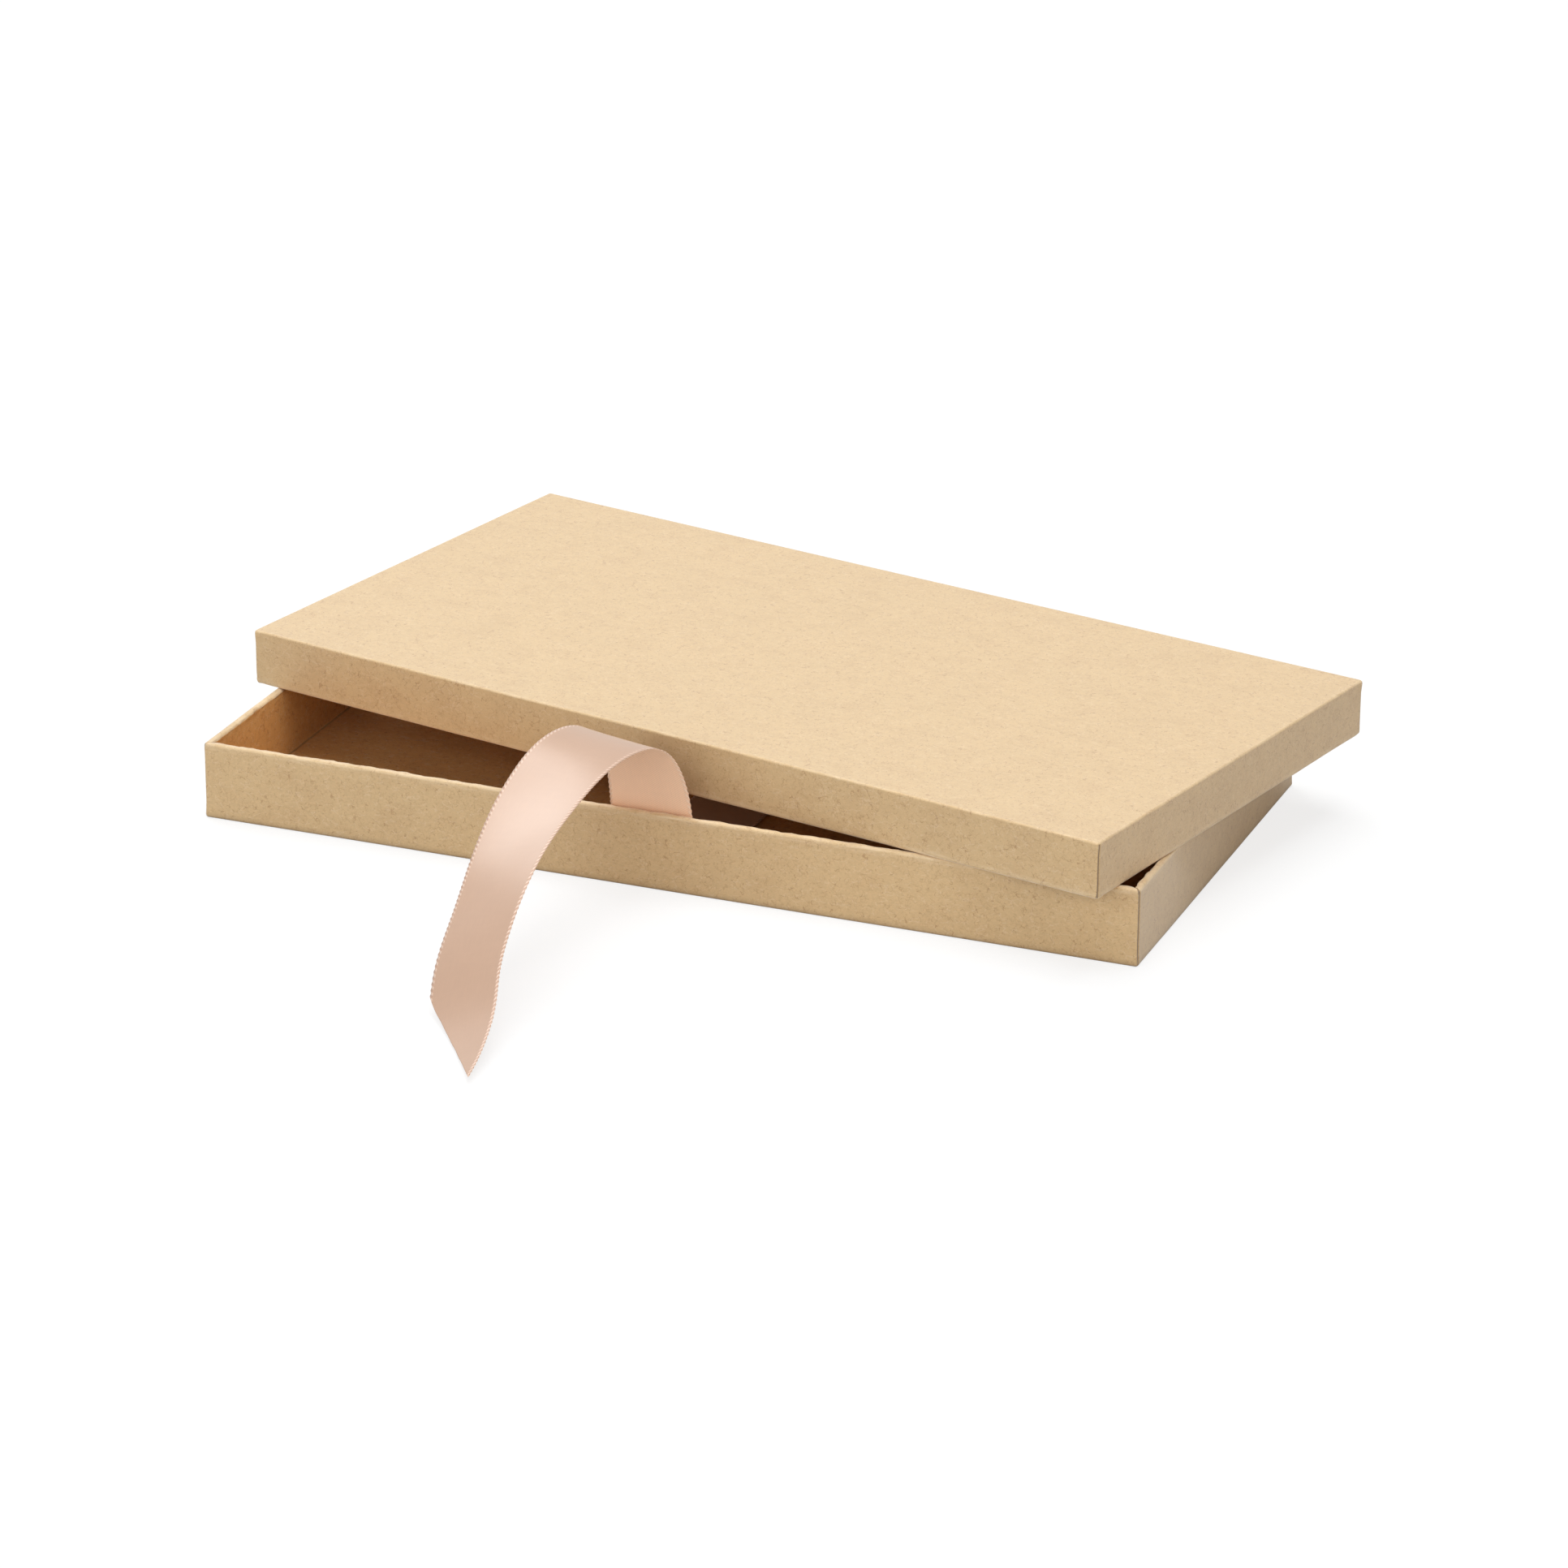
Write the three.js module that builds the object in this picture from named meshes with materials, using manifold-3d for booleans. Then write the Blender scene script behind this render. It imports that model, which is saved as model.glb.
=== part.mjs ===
// Gift card box: a shallow kraft board tray, its lift-off lid laid askew across the rim,
// and one satin ribbon that runs out over the front wall and comes down in front.
// Millimetres, +Z up. The origin is the centre of the tray's underside, +X runs along the
// long front wall to the right and +Y to the back.

import * as THREE from "three";
import { mergeVertices } from "three/addons/utils/BufferGeometryUtils.js";
import Module from "manifold-3d";

// Driving dimensions

const TRAY_LENGTH = 225;
const TRAY_WIDTH = 114;
const TRAY_HEIGHT = 18.25;
const LID_HEIGHT = 13.25;
const WALL = 1.8; // a wall is the board folded over on itself
const PANEL = 1.2; // the tray's floor and the lid's top
const LID_FIT = 0.3; // play on each side between the tray and the inside of the lid
const LID_TURN = -12; // degrees, how far askew the lid lies
const LID_ASIDE = 6; // the lid's centre, right of the tray's
const LID_BEHIND = 15.8; // and behind it

const FOLD_RADIUS = 0.5; // outside of the folds round the floor and the top
const RIM_RADIUS = 0.7; // both shoulders of a rolled rim
const CORNER_RADIUS = 0.7; // upright corners, outside
const INNER_RADIUS = 0.4; // where walls and floor meet inside
const SEAM = 0.3; // width of the slits where two walls' boards meet
const SEAM_DEPTH = 0.35; // how far the upright seams go in
const MITRE_DEPTH = 1.1; // how far the slits across the rim's corners go down

const RIBBON_WIDTH = 20;
const RIBBON_THICKNESS = 0.5;
const RIBBON_SIDE = -2.3; // where it crosses the front wall, from the tray's middle
const RIBBON_CREST = 20.75; // height of its guide's crest above the rim
const RIBBON_REACH = 110; // how far in front of the tray it comes down
const RIBBON_SWAY = 11; // how far it swings to the left on the way
const RIBBON_TIP = 1.8; // height of its tip, which its cut edge holds off the table
const RIBBON_TAIL_GAP = 11; // between its hidden end and the back wall
const RIBBON_CUT = 32; // how much longer the right selvedge is at the slanting cut
const SEAT_GAP = 0.3; // between the ribbon and the board that it lies on

// Materials

const kraft = (name) =>
  new THREE.MeshStandardMaterial({ name, color: 0xc6a878, roughness: 0.85, metalness: 0 });
const satin = new THREE.MeshStandardMaterial({
  name: "satin",
  color: 0xe3c2ae,
  roughness: 0.42,
  metalness: 0,
});

// Solids for cutting

const wasm = await Module();
wasm.setup();

const toSolid = (geometry) => {
  const bare = geometry.clone();
  bare.deleteAttribute("normal");
  bare.deleteAttribute("uv");
  const merged = mergeVertices(bare, 1e-4);
  return new wasm.Manifold(
    new wasm.Mesh({
      numProp: 3,
      vertProperties: new Float32Array(merged.attributes.position.array),
      triVerts: new Uint32Array(merged.index.array),
    }),
  );
};

const toGeometry = (solid) => {
  const mesh = solid.getMesh();
  const geometry = new THREE.BufferGeometry();
  geometry.setAttribute("position", new THREE.BufferAttribute(mesh.vertProperties, 3));
  geometry.setIndex(new THREE.BufferAttribute(mesh.triVerts, 1));
  geometry.computeVertexNormals();
  return geometry;
};

// A quarter circle of [inset, height] pairs about a centre, between two angles in degrees
const arc = (inset, height, radius, from, to, steps) =>
  Array.from({ length: steps + 1 }, (_, i) => {
    const angle = THREE.MathUtils.degToRad(from + ((to - from) * i) / steps);
    return [inset + radius * Math.cos(angle), height + radius * Math.sin(angle)];
  });

// The outline of the box at one inset from its outer faces, as points round a rectangle
const outline = (length, width, inset) => {
  const steps = 4;
  const radius = Math.max(CORNER_RADIUS - inset, INNER_RADIUS);
  const x = length / 2 - inset - radius;
  const y = width / 2 - inset - radius;
  const corners = [
    [x, y, 0],
    [-x, y, 90],
    [-x, -y, 180],
    [x, -y, 270],
  ];
  return corners.flatMap(([cx, cy, start]) => arc(cx, cy, radius, start, start + 90, steps));
};

// An open box with folded edges: one ring of points for each step of the wall's section,
// from the underside up the outer face, over the rim and down to the floor inside
const openBox = (length, width, height) => {
  const section = [
    ...arc(FOLD_RADIUS, FOLD_RADIUS, FOLD_RADIUS, 270, 180, 3),
    ...arc(RIM_RADIUS, height - RIM_RADIUS, RIM_RADIUS, 180, 90, 4),
    ...arc(WALL - RIM_RADIUS, height - RIM_RADIUS, RIM_RADIUS, 90, 0, 4),
    ...arc(WALL + INNER_RADIUS, PANEL + INNER_RADIUS, INNER_RADIUS, 180, 270, 2),
  ];
  const rings = section.map(([inset, z]) => outline(length, width, inset).map(([x, y]) => [x, y, z]));
  const count = rings[0].length;
  const position = rings.flat(2);
  const index = [];
  rings.slice(1).forEach((_, ring) => {
    for (let i = 0; i < count; i += 1) {
      const next = (i + 1) % count;
      const a = ring * count + i;
      const b = ring * count + next;
      index.push(a, b, b + count, a, b + count, a + count);
    }
  });
  // the underside and the floor inside are closed with a fan round their middles
  const last = (rings.length - 1) * count;
  const middle = position.length / 3;
  position.push(0, 0, 0, 0, 0, PANEL);
  for (let i = 0; i < count; i += 1) {
    const next = (i + 1) % count;
    index.push(middle, next, i, middle + 1, last + i, last + next);
  }
  const geometry = new THREE.BufferGeometry();
  geometry.setAttribute("position", new THREE.Float32BufferAttribute(position, 3));
  geometry.setIndex(index);
  return toSolid(geometry);
};

// The slits of one corner: an upright seam down the end wall beside the fold, and a mitre
// across the rim where the two rolled walls meet
const cornerSlits = (length, width, height, sideX, sideY) => {
  const seam = new THREE.BoxGeometry(2 * SEAM_DEPTH, SEAM, height - 2 * FOLD_RADIUS);
  seam.translate(
    (sideX * length) / 2,
    sideY * (width / 2 - CORNER_RADIUS - SEAM / 2),
    height / 2,
  );
  const mitre = new THREE.BoxGeometry(2 * WALL, SEAM, 2 * MITRE_DEPTH);
  mitre.rotateZ((sideX * sideY * Math.PI) / 4);
  mitre.translate(sideX * (length / 2 - WALL), sideY * (width / 2 - WALL), height);
  return toSolid(seam).add(toSolid(mitre));
};

const foldedBox = (length, width, height) => {
  let solid = openBox(length, width, height);
  for (const sideX of [-1, 1]) {
    for (const sideY of [-1, 1]) {
      solid = solid.subtract(cornerSlits(length, width, height, sideX, sideY));
    }
  }
  return toGeometry(solid);
};

// The ribbon

// Where its middle line lies on the tray
const ribbonFloor = PANEL + SEAT_GAP + RIBBON_THICKNESS / 2;
const ribbonWall = -TRAY_WIDTH / 2 + WALL + SEAT_GAP + RIBBON_THICKNESS / 2;
const ribbonEnd = TRAY_WIDTH / 2 - WALL - RIBBON_TAIL_GAP;
const crest = TRAY_HEIGHT + RIBBON_CREST;

// One guide of the ribbon's middle line: how far it has swayed aside of where it crosses
// the wall, its place along Y, the height of its right selvedge, which runs on to the tip,
// and its crosswise line's turn about Z and bank, in degrees
const guide = (sway, y, right, turn = 0, bank = 0) => {
  const rise = Math.sin(THREE.MathUtils.degToRad(bank)) * (RIBBON_WIDTH / 2);
  return {
    middle: new THREE.Vector3(RIBBON_SIDE - sway * RIBBON_SWAY, y, right - rise),
    angles: new THREE.Vector3(turn, bank, 0).multiplyScalar(Math.PI / 180),
  };
};
const inFront = (share) => -TRAY_WIDTH / 2 - share * RIBBON_REACH;

const guides = [
  // along the tray's floor and up its front wall
  guide(0, ribbonEnd, ribbonFloor),
  guide(0, 0, ribbonFloor),
  guide(0, ribbonWall + 0.1 * TRAY_WIDTH, ribbonFloor),
  guide(0, ribbonWall, ribbonFloor),
  guide(0, ribbonWall, TRAY_HEIGHT / 2),
  guide(0, ribbonWall, TRAY_HEIGHT),
  // over the crest
  guide(0.21, ribbonWall, TRAY_HEIGHT + 0.6 * RIBBON_CREST, -11, 1.4),
  guide(0.48, inFront(0.035), 0.97 * crest, -11, -4),
  guide(0.82, inFront(0.179), 0.976 * crest, -11, -8),
  // down to the table
  guide(1, inFront(0.33), 0.86 * crest, -10, 1),
  guide(0.95, inFront(0.472), 0.784 * crest, -10, 16),
  guide(0.89, inFront(0.596), 0.635 * crest, -8.6, 26),
  guide(0.88, inFront(0.701), 0.396 * crest, -8.2, 27),
  guide(0.565, inFront(0.785), 0.215 * crest, -9, 28.6),
  guide(0.38, inFront(0.889), 0.105 * crest, -5.7, 28.3),
  guide(0.28, inFront(1), RIBBON_TIP, -0.8, 27.3),
];

// A uniform cubic spline that starts and stops at its first and last guides
const blend = (values, at) => {
  const padded = [values[0], values[0], ...values, values.at(-1), values.at(-1)];
  const span = Math.min(Math.floor(at), padded.length - 4);
  const t = at - span;
  const shares = [
    (1 - t) ** 3,
    3 * t ** 3 - 6 * t ** 2 + 4,
    -3 * t ** 3 + 3 * t ** 2 + 3 * t + 1,
    t ** 3,
  ];
  const sum = new THREE.Vector3();
  shares.forEach((share, i) => sum.addScaledVector(padded[span + i], share / 6));
  return sum;
};

// Points of the middle line at even steps, each with its crosswise and outward directions
const ribbonFrames = (steps) => {
  const spans = guides.length + 1;
  const fine = Array.from({ length: spans * 24 + 1 }, (_, i) => i / 24);
  const middles = fine.map((at) => blend(guides.map((g) => g.middle), at));
  const run = [0];
  middles.slice(1).forEach((p, i) => run.push(run[i] + p.distanceTo(middles[i])));
  const total = run.at(-1);
  let k = 0;
  return Array.from({ length: steps + 1 }, (_, i) => {
    const distance = (total * i) / steps;
    while (k < run.length - 2 && run[k + 1] < distance) k += 1;
    const share = (distance - run[k]) / (run[k + 1] - run[k]);
    const middle = middles[k].clone().lerp(middles[k + 1], share);
    const along = middles[k + 1].clone().sub(middles[k]).normalize();
    const angles = blend(guides.map((g) => g.angles), THREE.MathUtils.lerp(fine[k], fine[k + 1], share));
    const across = new THREE.Vector3(
      Math.cos(angles.y) * Math.cos(angles.x),
      Math.cos(angles.y) * Math.sin(angles.x),
      Math.sin(angles.y),
    );
    across.addScaledVector(along, -across.dot(along)).normalize();
    return { distance, middle, across, out: new THREE.Vector3().crossVectors(across, along) };
  });
};

// A point of the strip at a distance along it, between two frames
const framePoint = (frames, distance, side, out) => {
  const last = frames.length - 2;
  const step = frames[1].distance;
  const i = Math.min(Math.max(Math.floor(distance / step), 0), last);
  const share = distance / step - i;
  const place = ({ middle, across, out: normal }) =>
    middle.clone().addScaledVector(across, side).addScaledVector(normal, out);
  return place(frames[i]).lerp(place(frames[i + 1]), share);
};

// The strip: crosswise rows that lean over steadily to the slanting cut near the end
const ribbonStrip = () => {
  const rows = 96;
  const columns = 4;
  const frames = ribbonFrames(240);
  const total = frames.at(-1).distance;
  const leanFrom = 0.7;
  const position = [];
  for (let row = 0; row <= rows; row += 1) {
    const share = row / rows;
    const lean = RIBBON_CUT * Math.max(0, (share - leanFrom) / (1 - leanFrom));
    for (const face of [0.5, -0.5]) {
      for (let column = 0; column <= columns; column += 1) {
        const side = column / columns;
        const distance = total * share - lean * (1 - side);
        const p = framePoint(
          frames,
          distance,
          RIBBON_WIDTH * (side - 0.5),
          RIBBON_THICKNESS * face,
        );
        position.push(p.x, p.y, p.z);
      }
    }
  }
  const loop = 2 * (columns + 1);
  // once round a row: along one face, then back along the other
  const round = Array.from({ length: loop }, (_, i) => (i <= columns ? i : loop + columns - i));
  const index = [];
  for (let row = 0; row < rows; row += 1) {
    for (let i = 0; i < loop; i += 1) {
      const a = row * loop + round[i];
      const b = row * loop + round[(i + 1) % loop];
      index.push(a, b, b + loop, a, b + loop, a + loop);
    }
  }
  for (let column = 0; column < columns; column += 1) {
    const near = [column, column + 1, column + loop / 2, column + 1 + loop / 2];
    const far = near.map((i) => i + rows * loop);
    index.push(near[0], near[2], near[3], near[0], near[3], near[1]);
    index.push(far[0], far[3], far[2], far[0], far[1], far[3]);
  }
  const geometry = new THREE.BufferGeometry();
  geometry.setAttribute("position", new THREE.Float32BufferAttribute(position, 3));
  geometry.setIndex(index);
  return geometry;
};

// Assembly

const mesh = (name, geometry, material) => {
  const piece = new THREE.Mesh(geometry, material);
  piece.name = name;
  return piece;
};

const tray = mesh("tray", foldedBox(TRAY_LENGTH, TRAY_WIDTH, TRAY_HEIGHT), kraft("tray board"));

const lidGrowth = 2 * (WALL + LID_FIT);
const lidGeometry = foldedBox(TRAY_LENGTH + lidGrowth, TRAY_WIDTH + lidGrowth, LID_HEIGHT);
lidGeometry.rotateX(Math.PI);
lidGeometry.translate(0, 0, LID_HEIGHT);
const lid = mesh("lid", lidGeometry, kraft("lid board"));
lid.position.set(LID_ASIDE, LID_BEHIND, TRAY_HEIGHT);
lid.rotation.z = THREE.MathUtils.degToRad(LID_TURN);

const ribbon = mesh("ribbon", ribbonStrip(), satin);

const giftCardBox = new THREE.Group();
giftCardBox.add(tray, lid, ribbon);

export default giftCardBox;
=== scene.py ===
"""A gift card box of kraft board: its tray, its lid laid askew, and a satin ribbon."""

import logging
import math
from dataclasses import dataclass
from enum import Enum

import bpy
import numpy as np
from mathutils import Matrix, Vector, noise


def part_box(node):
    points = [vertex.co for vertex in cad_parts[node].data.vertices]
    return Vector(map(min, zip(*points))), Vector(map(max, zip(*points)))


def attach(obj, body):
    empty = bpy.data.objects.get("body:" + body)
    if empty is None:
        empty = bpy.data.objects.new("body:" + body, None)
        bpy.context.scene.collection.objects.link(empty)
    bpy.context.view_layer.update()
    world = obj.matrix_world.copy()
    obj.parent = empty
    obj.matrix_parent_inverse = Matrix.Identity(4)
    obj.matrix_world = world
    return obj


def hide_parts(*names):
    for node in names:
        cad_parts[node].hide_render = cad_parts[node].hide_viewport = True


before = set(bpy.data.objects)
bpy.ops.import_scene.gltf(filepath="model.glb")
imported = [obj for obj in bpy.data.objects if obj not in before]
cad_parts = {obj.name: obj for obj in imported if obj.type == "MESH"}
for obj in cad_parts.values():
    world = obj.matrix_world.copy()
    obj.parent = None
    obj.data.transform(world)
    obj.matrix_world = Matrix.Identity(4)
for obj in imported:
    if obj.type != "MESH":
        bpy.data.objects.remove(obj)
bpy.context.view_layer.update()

MM = 0.001
WHITE = (1, 1, 1, 1)
# the play on each side between the tray and the lid, and how far askew the lid lies
LID_FIT = 0.3 * MM
LID_TURN = math.radians(-12)
# two insets closer than this are the same
SLACK = 0.01 * MM
LOG = logging.getLogger("gift_card_box")


def new_piece(name: str, points: list, faces: list) -> tuple[bpy.types.Object, bpy.types.Mesh]:
    """Make an object of points and faces, and show it.

    Args:
        name: its name.
        points: its points.
        faces: the numbers of each face's points.

    Returns:
        The object and its mesh.
    """
    mesh = bpy.data.meshes.new(name)
    mesh.from_pydata(points, [], faces)
    piece = bpy.data.objects.new(name, mesh)
    bpy.context.collection.objects.link(piece)
    return piece, mesh


class Signal:
    """A node's output socket that takes part in Python sums."""

    def __init__(self, graph: "Graph", socket: bpy.types.NodeSocket) -> None:
        """Keep the graph and the socket.

        Args:
            graph: the graph that the socket's node is in.
            socket: the output socket.
        """
        self.graph = graph
        self.socket = socket

    def maths(self, operation: str, *values: "Signal | float") -> "Signal":
        """Add one Math node.

        Args:
            operation: the Math node's operation.
            values: its inputs in order.

        Returns:
            The node's result.
        """
        inputs = dict(enumerate(values))
        return self.graph.add("ShaderNodeMath", {"operation": operation}, inputs)

    def __add__(self, other: "Signal | float") -> "Signal":
        """Add two values."""
        return self.maths("ADD", self, other)

    def __radd__(self, other: float) -> "Signal":
        """Add a value to a number."""
        return self.maths("ADD", other, self)

    def __sub__(self, other: "Signal | float") -> "Signal":
        """Take a value away."""
        return self.maths("SUBTRACT", self, other)

    def __rsub__(self, other: float) -> "Signal":
        """Take this value from a number."""
        return self.maths("SUBTRACT", other, self)

    def __mul__(self, other: "Signal | float") -> "Signal":
        """Multiply two values."""
        return self.maths("MULTIPLY", self, other)

    def __rmul__(self, other: float) -> "Signal":
        """Multiply a number by this value."""
        return self.maths("MULTIPLY", other, self)

    def __abs__(self) -> "Signal":
        """Drop the value's sign."""
        return self.maths("ABSOLUTE", self)

    def most(self, other: "Signal | float") -> "Signal":
        """Keep the larger of two values."""
        return self.maths("MAXIMUM", self, other)

    def beside(self, name: str) -> "Signal":
        """Another output of the same node."""
        return Signal(self.graph, self.socket.node.outputs[name])

    def wave(self, pitch: float) -> "Signal":
        """Rise and fall between -1 and 1.

        Args:
            pitch: how far apart two crests are.

        Returns:
            The wave.
        """
        return self.maths("SINE", self * (math.tau / pitch))

    def ramp(self, low: float, high: float) -> "Signal":
        """Rise smoothly from 0 to 1 between two values.

        Args:
            low: where the result is 0.
            high: where the result is 1, below low for a fall.

        Returns:
            The smooth share.
        """
        settings = {"interpolation_type": "SMOOTHSTEP", "clamp": True}
        inputs = {"Value": self, "From Min": low, "From Max": high}
        return self.graph.add("ShaderNodeMapRange", settings, inputs)


class Graph:
    """The node tree of one material or world, emptied and then filled."""

    def __init__(self, tree: bpy.types.NodeTree) -> None:
        """Empty the tree.

        Args:
            tree: the node tree to fill.
        """
        self.tree = tree
        tree.nodes.clear()

    def add(
        self,
        kind: str,
        settings: dict | None = None,
        inputs: dict | None = None,
        output: int | str = 0,
    ) -> Signal | None:
        """Add one node.

        Args:
            kind: the node's type.
            settings: its own settings, set first.
            inputs: values or signals for its sockets, by name or number.
            output: the socket that is given back.

        Returns:
            The chosen output, or None where the node has none.
        """
        node = self.tree.nodes.new(kind)
        for name, value in (settings or {}).items():
            setattr(node, name, value)
        for name, value in (inputs or {}).items():
            if isinstance(value, Signal):
                self.tree.links.new(value.socket, node.inputs[name])
            else:
                node.inputs[name].default_value = value
        if not node.outputs:
            return None
        return Signal(self, node.outputs[output])

    def mix(self, share: Signal | float, under: object, over: object) -> Signal:
        """Mix two colours.

        Args:
            share: how much of the second colour there is.
            under: the first colour.
            over: the second colour.

        Returns:
            The mixed colour.
        """
        return self.add("ShaderNodeMix", {"data_type": "RGBA"}, {0: share, 6: under, 7: over}, 2)

    def tint(self, colour: Signal, factor: Signal) -> Signal:
        """Scale a colour by a value.

        Args:
            colour: the colour.
            factor: the value that each of its channels is multiplied by.

        Returns:
            The scaled colour.
        """
        return self.add(
            "ShaderNodeVectorMath", {"operation": "SCALE"}, {0: colour, "Scale": factor}
        )

    def place(self, name: str, scale: tuple = (1, 1, 1), turn: tuple = (0, 0, 0)) -> Signal:
        """Read a place that a mesh keeps on its points, and stretch it.

        Args:
            name: the mesh attribute.
            scale: the stretch along each of its axes.
            turn: a turn before the stretch, in radians.

        Returns:
            The place as a vector.
        """
        read = self.add("ShaderNodeAttribute", {"attribute_name": name}, output="Vector")
        return self.add(
            "ShaderNodeMapping", {}, {"Vector": read, "Rotation": turn, "Scale": scale}
        )

    def mark(self, name: str) -> Signal:
        """Read a value that a mesh keeps on its points."""
        return self.add("ShaderNodeAttribute", {"attribute_name": name}, output="Fac")

    def shifted(self, place: Signal, size: float, reach: float) -> Signal:
        """Pull a place about.

        Args:
            place: the place to pull.
            size: the width of one curl.
            reach: how far the place is pulled.

        Returns:
            The new place.
        """
        pull = self.add(
            "ShaderNodeTexNoise",
            {"noise_dimensions": "3D"},
            {"Vector": place, "Scale": 1 / size, "Detail": 1},
            "Color",
        )
        settings = {"operation": "MULTIPLY_ADD"}
        return self.add("ShaderNodeVectorMath", settings, {0: pull, 1: (reach,) * 3, 2: place})

    def cloud(self, place: Signal, size: float, detail: float = 2) -> Signal:
        """Soft random values about 0.5.

        Args:
            place: where on the surface.
            size: the width of one patch, in the units of place.
            detail: how many finer layers there are.

        Returns:
            The value.
        """
        inputs = {"Vector": place, "Scale": 1 / size, "Detail": detail}
        return self.add("ShaderNodeTexNoise", {"noise_dimensions": "3D"}, inputs)

    def bump(self, height: Signal, strength: float, depth: float) -> Signal:
        """Raise and lower a surface.

        Args:
            height: how high each place is.
            strength: how much of the relief shows.
            depth: how far a height of 1 stands out, in metres.

        Returns:
            The surface's direction.
        """
        inputs = {"Strength": strength, "Distance": depth, "Height": height}
        return self.add("ShaderNodeBump", {}, inputs)

    def surface(self, inputs: dict) -> None:
        """Add the shader of a solid surface, and show it.

        Args:
            inputs: values or signals for its sockets.
        """
        shader = self.add("ShaderNodeBsdfPrincipled", {}, inputs)
        self.add("ShaderNodeOutputMaterial", {}, {"Surface": shader})


def new_material(name: str) -> tuple[bpy.types.Material, Graph]:
    """Make an empty material.

    Args:
        name: its name.

    Returns:
        The material, and its nodes to fill.
    """
    made = bpy.data.materials.new(name)
    made.use_nodes = True
    return made, Graph(made.node_tree)


@dataclass(frozen=True)
class Fibres:
    """One kind of fibre in the face of a board.

    Spacing and width are in metres. A fibre shows where a cloud is above few, and share
    says how strongly.
    """

    spacing: float
    width: float
    few: float
    share: float


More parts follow.
